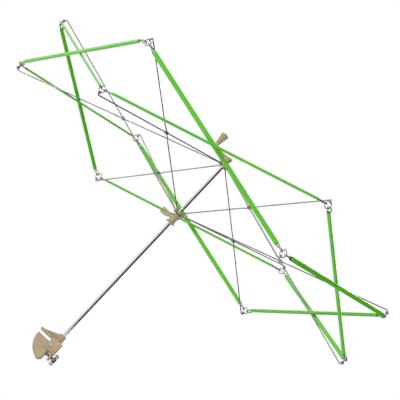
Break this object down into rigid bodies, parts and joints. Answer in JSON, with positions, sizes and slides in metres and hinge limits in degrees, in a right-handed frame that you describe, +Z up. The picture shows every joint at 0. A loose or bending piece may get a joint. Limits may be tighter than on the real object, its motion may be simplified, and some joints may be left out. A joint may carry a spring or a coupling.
{
  "type": "yarn swift",
  "caption": "Umbrella swift with crossed wire ribs, sleeved arms in two interlaced hexagons, a crank on the top hub, and a table clamp at the foot of the shaft.",
  "frame": {"origin": "on the shaft axis, on the underside of the clamp's upper jaw, where it rests on a table top", "axes": "+Z up the shaft towards the crank; the clamp's mouth and the crank point towards -X; +Y completes a right-handed frame"},
  "size_m": [0.6284, 0.553, 0.4163],
  "materials": {
    "zinc": "zinc plated, satin",
    "chrome": "bright plated",
    "spring_wire": "drawn and plated wire",
    "beige_plastic": "moulded, semi-gloss",
    "green_sleeve": "soft extruded tube, gloss"
  },
  "bodies": {
    "clamp": {"clamp_frame": "beige_plastic", "jaw_pin": "zinc", "shaft": "chrome"},
    "upper_hub": {"upper_hub": "beige_plastic", "crank_arm": "beige_plastic"},
    "upper_rib_1": {"upper_rib_1": "spring_wire"},
    "lower_rib_1": {"lower_rib_1": "spring_wire"},
    "upper_rib_2": {"upper_rib_2": "spring_wire"},
    "lower_rib_2": {"lower_rib_2": "spring_wire"},
    "upper_rib_3": {"upper_rib_3": "spring_wire"},
    "lower_rib_3": {"lower_rib_3": "spring_wire"},
    "upper_rib_4": {"upper_rib_4": "spring_wire"},
    "lower_rib_4": {"lower_rib_4": "spring_wire"},
    "upper_rib_5": {"upper_rib_5": "spring_wire"},
    "lower_rib_5": {"lower_rib_5": "spring_wire"},
    "upper_rib_6": {"upper_rib_6": "spring_wire"},
    "lower_rib_6": {"lower_rib_6": "spring_wire"},
    "lower_hub": {"lower_hub": "beige_plastic"},
    "runner_collar": {"runner_collar": "beige_plastic"},
    "lock_screw": {"lock_screw": "beige_plastic"},
    "upper_ring_1": {"upper_ring_1": "spring_wire"},
    "lower_ring_1": {"lower_ring_1": "spring_wire"},
    "upper_ring_2": {"upper_ring_2": "spring_wire"},
    "lower_ring_2": {"lower_ring_2": "spring_wire"},
    "upper_ring_3": {"upper_ring_3": "spring_wire"},
    "lower_ring_3": {"lower_ring_3": "spring_wire"},
    "upper_ring_4": {"upper_ring_4": "spring_wire"},
    "lower_ring_4": {"lower_ring_4": "spring_wire"},
    "upper_ring_5": {"upper_ring_5": "spring_wire"},
    "lower_ring_5": {"lower_ring_5": "spring_wire"},
    "upper_ring_6": {"upper_ring_6": "spring_wire"},
    "lower_ring_6": {"lower_ring_6": "spring_wire"},
    "outer_arm_1": {"outer_arm_1_core": "spring_wire", "outer_arm_1_sleeve": "green_sleeve"},
    "inner_arm_1": {"inner_arm_1_core": "spring_wire", "inner_arm_1_sleeve": "green_sleeve"},
    "outer_arm_2": {"outer_arm_2_core": "spring_wire", "outer_arm_2_sleeve": "green_sleeve"},
    "inner_arm_2": {"inner_arm_2_core": "spring_wire", "inner_arm_2_sleeve": "green_sleeve"},
    "outer_arm_3": {"outer_arm_3_core": "spring_wire", "outer_arm_3_sleeve": "green_sleeve"},
    "inner_arm_3": {"inner_arm_3_core": "spring_wire", "inner_arm_3_sleeve": "green_sleeve"},
    "outer_arm_4": {"outer_arm_4_core": "spring_wire", "outer_arm_4_sleeve": "green_sleeve"},
    "inner_arm_4": {"inner_arm_4_core": "spring_wire", "inner_arm_4_sleeve": "green_sleeve"},
    "outer_arm_5": {"outer_arm_5_core": "spring_wire", "outer_arm_5_sleeve": "green_sleeve"},
    "inner_arm_5": {"inner_arm_5_core": "spring_wire", "inner_arm_5_sleeve": "green_sleeve"},
    "outer_arm_6": {"outer_arm_6_core": "spring_wire", "outer_arm_6_sleeve": "green_sleeve"},
    "inner_arm_6": {"inner_arm_6_core": "spring_wire", "inner_arm_6_sleeve": "green_sleeve"},
    "crank_knob": {"crank_knob": "beige_plastic"},
    "pressure_pad": {"pressure_pad": "zinc"},
    "thumb_screw": {"thumb_screw": "zinc"},
    "lower_jaw": {"lower_jaw": "beige_plastic"}
  },
  "joints": [
    {"name": "swift_spin", "type": "hinge", "parent": "clamp", "child": "upper_hub", "pos_m": [0, 0, 0.346], "axis": [0, 0, 1], "continuous": true},
    {"name": "fold", "type": "hinge", "parent": "upper_hub", "child": "upper_rib_1", "pos_m": [-0.0064, 0, 0.346], "axis": [0, -1, 0], "range_deg": [-5, 45]},
    {"name": "cross_1_rivet", "type": "hinge", "parent": "upper_rib_1", "child": "lower_rib_1", "pos_m": [-0.15106, 0, 0.299], "axis": [0, 1, 0], "range_deg": [-10.2, 90.2]},
    {"name": "upper_rib_2_pivot", "type": "hinge", "parent": "upper_hub", "child": "upper_rib_2", "pos_m": [-0.0032, -0.00554, 0.346], "axis": [0.866, -0.5, 0], "range_deg": [-5.2, 45.2]},
    {"name": "cross_2_rivet", "type": "hinge", "parent": "upper_rib_2", "child": "lower_rib_2", "pos_m": [-0.07553, -0.13083, 0.299], "axis": [-0.866, 0.5, 0], "range_deg": [-10.2, 90.2]},
    {"name": "upper_rib_3_pivot", "type": "hinge", "parent": "upper_hub", "child": "upper_rib_3", "pos_m": [0.0032, -0.00554, 0.346], "axis": [0.866, 0.5, 0], "range_deg": [-5.2, 45.2]},
    {"name": "cross_3_rivet", "type": "hinge", "parent": "upper_rib_3", "child": "lower_rib_3", "pos_m": [0.07553, -0.13083, 0.299], "axis": [-0.866, -0.5, 0], "range_deg": [-10.2, 90.2]},
    {"name": "upper_rib_4_pivot", "type": "hinge", "parent": "upper_hub", "child": "upper_rib_4", "pos_m": [0.0064, 0, 0.346], "axis": [0, 1, 0], "range_deg": [-5.2, 45.2]},
    {"name": "cross_4_rivet", "type": "hinge", "parent": "upper_rib_4", "child": "lower_rib_4", "pos_m": [0.15106, 0, 0.299], "axis": [0, -1, 0], "range_deg": [-10.2, 90.2]},
    {"name": "upper_rib_5_pivot", "type": "hinge", "parent": "upper_hub", "child": "upper_rib_5", "pos_m": [0.0032, 0.00554, 0.346], "axis": [-0.866, 0.5, 0], "range_deg": [-5.2, 45.2]},
    {"name": "cross_5_rivet", "type": "hinge", "parent": "upper_rib_5", "child": "lower_rib_5", "pos_m": [0.07553, 0.13083, 0.299], "axis": [0.866, -0.5, 0], "range_deg": [-10.2, 90.2]},
    {"name": "upper_rib_6_pivot", "type": "hinge", "parent": "upper_hub", "child": "upper_rib_6", "pos_m": [-0.0032, 0.00554, 0.346], "axis": [-0.866, -0.5, 0], "range_deg": [-5.2, 45.2]},
    {"name": "cross_6_rivet", "type": "hinge", "parent": "upper_rib_6", "child": "lower_rib_6", "pos_m": [-0.07553, 0.13083, 0.299], "axis": [0.866, 0.5, 0], "range_deg": [-10.2, 90.2]},
    {"name": "lower_hub_pivot", "type": "hinge", "parent": "lower_rib_1", "child": "lower_hub", "pos_m": [-0.0064, 0, 0.25199], "axis": [0, -1, 0], "range_deg": [-5.2, 45.2]},
    {"name": "runner_swivel", "type": "hinge", "parent": "lower_hub", "child": "runner_collar", "pos_m": [0, 0, 0.25199], "axis": [0, 0, -1], "continuous": true},
    {"name": "lock_turn", "type": "hinge", "parent": "runner_collar", "child": "lock_screw", "pos_m": [-0.008, 0, 0.24019], "axis": [-1, 0, 0], "range_deg": [0, 360]},
    {"name": "upper_ring_1_pivot", "type": "hinge", "parent": "lower_rib_1", "child": "upper_ring_1", "pos_m": [-0.31102, 0, 0.34676], "axis": [0, -1, 0], "range_deg": [-5.2, 45.2]},
    {"name": "lower_ring_1_pivot", "type": "hinge", "parent": "upper_rib_1", "child": "lower_ring_1", "pos_m": [-0.31102, 0, 0.25123], "axis": [0, 1, 0], "range_deg": [-5.2, 45.2]},
    {"name": "upper_ring_2_pivot", "type": "hinge", "parent": "lower_rib_2", "child": "upper_ring_2", "pos_m": [-0.15551, -0.26935, 0.34676], "axis": [0.866, -0.5, 0], "range_deg": [-5.2, 45.2]},
    {"name": "lower_ring_2_pivot", "type": "hinge", "parent": "upper_rib_2", "child": "lower_ring_2", "pos_m": [-0.15551, -0.26935, 0.25123], "axis": [-0.866, 0.5, 0], "range_deg": [-5.2, 45.2]},
    {"name": "upper_ring_3_pivot", "type": "hinge", "parent": "lower_rib_3", "child": "upper_ring_3", "pos_m": [0.15551, -0.26935, 0.34676], "axis": [0.866, 0.5, 0], "range_deg": [-5.2, 45.2]},
    {"name": "lower_ring_3_pivot", "type": "hinge", "parent": "upper_rib_3", "child": "lower_ring_3", "pos_m": [0.15551, -0.26935, 0.25123], "axis": [-0.866, -0.5, 0], "range_deg": [-5.2, 45.2]},
    {"name": "upper_ring_4_pivot", "type": "hinge", "parent": "lower_rib_4", "child": "upper_ring_4", "pos_m": [0.31102, 0, 0.34676], "axis": [0, 1, 0], "range_deg": [-5.2, 45.2]},
    {"name": "lower_ring_4_pivot", "type": "hinge", "parent": "upper_rib_4", "child": "lower_ring_4", "pos_m": [0.31102, 0, 0.25123], "axis": [0, -1, 0], "range_deg": [-5.2, 45.2]},
    {"name": "upper_ring_5_pivot", "type": "hinge", "parent": "lower_rib_5", "child": "upper_ring_5", "pos_m": [0.15551, 0.26935, 0.34676], "axis": [-0.866, 0.5, 0], "range_deg": [-5.2, 45.2]},
    {"name": "lower_ring_5_pivot", "type": "hinge", "parent": "upper_rib_5", "child": "lower_ring_5", "pos_m": [0.15551, 0.26935, 0.25123], "axis": [0.866, -0.5, 0], "range_deg": [-5.2, 45.2]},
    {"name": "upper_ring_6_pivot", "type": "hinge", "parent": "lower_rib_6", "child": "upper_ring_6", "pos_m": [-0.15551, 0.26935, 0.34676], "axis": [-0.866, -0.5, 0], "range_deg": [-5.2, 45.2]},
    {"name": "lower_ring_6_pivot", "type": "hinge", "parent": "upper_rib_6", "child": "lower_ring_6", "pos_m": [-0.15551, 0.26935, 0.25123], "axis": [0.866, 0.5, 0], "range_deg": [-5.2, 45.2]},
    {"name": "outer_arm_1_hinge", "type": "hinge", "parent": "upper_ring_2", "child": "outer_arm_1", "pos_m": [-0.15551, -0.26935, 0.34176], "axis": [-0.866, -0.5, 0], "range_deg": [-5.4, 46.4]},
    {"name": "inner_arm_1_hinge", "type": "hinge", "parent": "upper_ring_1", "child": "inner_arm_1", "pos_m": [-0.31102, 0, 0.34176], "axis": [0.866, 0.5, 0], "range_deg": [-5.4, 46.4]},
    {"name": "outer_arm_2_hinge", "type": "hinge", "parent": "upper_ring_3", "child": "outer_arm_2", "pos_m": [0.15551, -0.26935, 0.34176], "axis": [0, -1, 0], "range_deg": [-5.4, 46.4]},
    {"name": "inner_arm_2_hinge", "type": "hinge", "parent": "upper_ring_2", "child": "inner_arm_2", "pos_m": [-0.15551, -0.26935, 0.34176], "axis": [0, 1, 0], "range_deg": [-5.4, 46.4]},
    {"name": "outer_arm_3_hinge", "type": "hinge", "parent": "upper_ring_4", "child": "outer_arm_3", "pos_m": [0.31102, 0, 0.34176], "axis": [0.866, -0.5, 0], "range_deg": [-5.4, 46.4]},
    {"name": "inner_arm_3_hinge", "type": "hinge", "parent": "upper_ring_3", "child": "inner_arm_3", "pos_m": [0.15551, -0.26935, 0.34176], "axis": [-0.866, 0.5, 0], "range_deg": [-5.4, 46.4]},
    {"name": "outer_arm_4_hinge", "type": "hinge", "parent": "upper_ring_5", "child": "outer_arm_4", "pos_m": [0.15551, 0.26935, 0.34176], "axis": [0.866, 0.5, 0], "range_deg": [-5.4, 46.4]},
    {"name": "inner_arm_4_hinge", "type": "hinge", "parent": "upper_ring_4", "child": "inner_arm_4", "pos_m": [0.31102, 0, 0.34176], "axis": [-0.866, -0.5, 0], "range_deg": [-5.4, 46.4]},
    {"name": "outer_arm_5_hinge", "type": "hinge", "parent": "upper_ring_6", "child": "outer_arm_5", "pos_m": [-0.15551, 0.26935, 0.34176], "axis": [0, 1, 0], "range_deg": [-5.4, 46.4]},
    {"name": "inner_arm_5_hinge", "type": "hinge", "parent": "upper_ring_5", "child": "inner_arm_5", "pos_m": [0.15551, 0.26935, 0.34176], "axis": [0, -1, 0], "range_deg": [-5.4, 46.4]},
    {"name": "outer_arm_6_hinge", "type": "hinge", "parent": "upper_ring_1", "child": "outer_arm_6", "pos_m": [-0.31102, 0, 0.34176], "axis": [-0.866, 0.5, 0], "range_deg": [-5.4, 46.4]},
    {"name": "inner_arm_6_hinge", "type": "hinge", "parent": "upper_ring_6", "child": "inner_arm_6", "pos_m": [-0.15551, 0.26935, 0.34176], "axis": [0.866, -0.5, 0], "range_deg": [-5.4, 46.4]},
    {"name": "knob_spin", "type": "hinge", "parent": "upper_hub", "child": "crank_knob", "pos_m": [-0.028, 0, 0.365], "axis": [0, 0, 1], "continuous": true},
    {"name": "pad_slide", "type": "slide", "parent": "clamp", "child": "pressure_pad", "axis": [-1, 0, 0], "range_m": [-0.00311, 0.00168]},
    {"name": "screw_turn", "type": "hinge", "parent": "pressure_pad", "child": "thumb_screw", "pos_m": [0.0105, 0, -0.0195], "axis": [-1, 0, 0], "range_deg": [-888.7, 478.5]},
    {"name": "jaw_swing", "type": "hinge", "parent": "clamp", "child": "lower_jaw", "pos_m": [-0.0035, 0, -0.0065], "axis": [0, 1, 0], "range_deg": [-13.2, 7.2]}
  ],
  "couplings": [
    {"joint": "cross_1_rivet", "follows": "fold", "ratio": 2},
    {"joint": "upper_rib_2_pivot", "follows": "fold", "ratio": 1},
    {"joint": "cross_2_rivet", "follows": "fold", "ratio": 2},
    {"joint": "upper_rib_3_pivot", "follows": "fold", "ratio": 1},
    {"joint": "cross_3_rivet", "follows": "fold", "ratio": 2},
    {"joint": "upper_rib_4_pivot", "follows": "fold", "ratio": 1},
    {"joint": "cross_4_rivet", "follows": "fold", "ratio": 2},
    {"joint": "upper_rib_5_pivot", "follows": "fold", "ratio": 1},
    {"joint": "cross_5_rivet", "follows": "fold", "ratio": 2},
    {"joint": "upper_rib_6_pivot", "follows": "fold", "ratio": 1},
    {"joint": "cross_6_rivet", "follows": "fold", "ratio": 2},
    {"joint": "lower_hub_pivot", "follows": "fold", "ratio": 1},
    {"joint": "runner_swivel", "follows": "swift_spin", "ratio": 1},
    {"joint": "upper_ring_1_pivot", "follows": "fold", "ratio": 1},
    {"joint": "lower_ring_1_pivot", "follows": "fold", "ratio": 1},
    {"joint": "upper_ring_2_pivot", "follows": "fold", "ratio": 1},
    {"joint": "lower_ring_2_pivot", "follows": "fold", "ratio": 1},
    {"joint": "upper_ring_3_pivot", "follows": "fold", "ratio": 1},
    {"joint": "lower_ring_3_pivot", "follows": "fold", "ratio": 1},
    {"joint": "upper_ring_4_pivot", "follows": "fold", "ratio": 1},
    {"joint": "lower_ring_4_pivot", "follows": "fold", "ratio": 1},
    {"joint": "upper_ring_5_pivot", "follows": "fold", "ratio": 1},
    {"joint": "lower_ring_5_pivot", "follows": "fold", "ratio": 1},
    {"joint": "upper_ring_6_pivot", "follows": "fold", "ratio": 1},
    {"joint": "lower_ring_6_pivot", "follows": "fold", "ratio": 1},
    {"joint": "outer_arm_1_hinge", "follows": "fold", "ratio": 1.0254},
    {"joint": "inner_arm_1_hinge", "follows": "fold", "ratio": 1.0254},
    {"joint": "outer_arm_2_hinge", "follows": "fold", "ratio": 1.0254},
    {"joint": "inner_arm_2_hinge", "follows": "fold", "ratio": 1.0254},
    {"joint": "outer_arm_3_hinge", "follows": "fold", "ratio": 1.0254},
    {"joint": "inner_arm_3_hinge", "follows": "fold", "ratio": 1.0254},
    {"joint": "outer_arm_4_hinge", "follows": "fold", "ratio": 1.0254},
    {"joint": "inner_arm_4_hinge", "follows": "fold", "ratio": 1.0254},
    {"joint": "outer_arm_5_hinge", "follows": "fold", "ratio": 1.0254},
    {"joint": "inner_arm_5_hinge", "follows": "fold", "ratio": 1.0254},
    {"joint": "outer_arm_6_hinge", "follows": "fold", "ratio": 1.0254},
    {"joint": "inner_arm_6_hinge", "follows": "fold", "ratio": 1.0254},
    {"joint": "pad_slide", "follows": "screw_turn", "m_per_rad": 0.00019894},
    {"joint": "jaw_swing", "follows": "screw_turn", "ratio": 0.014628}
  ]
}
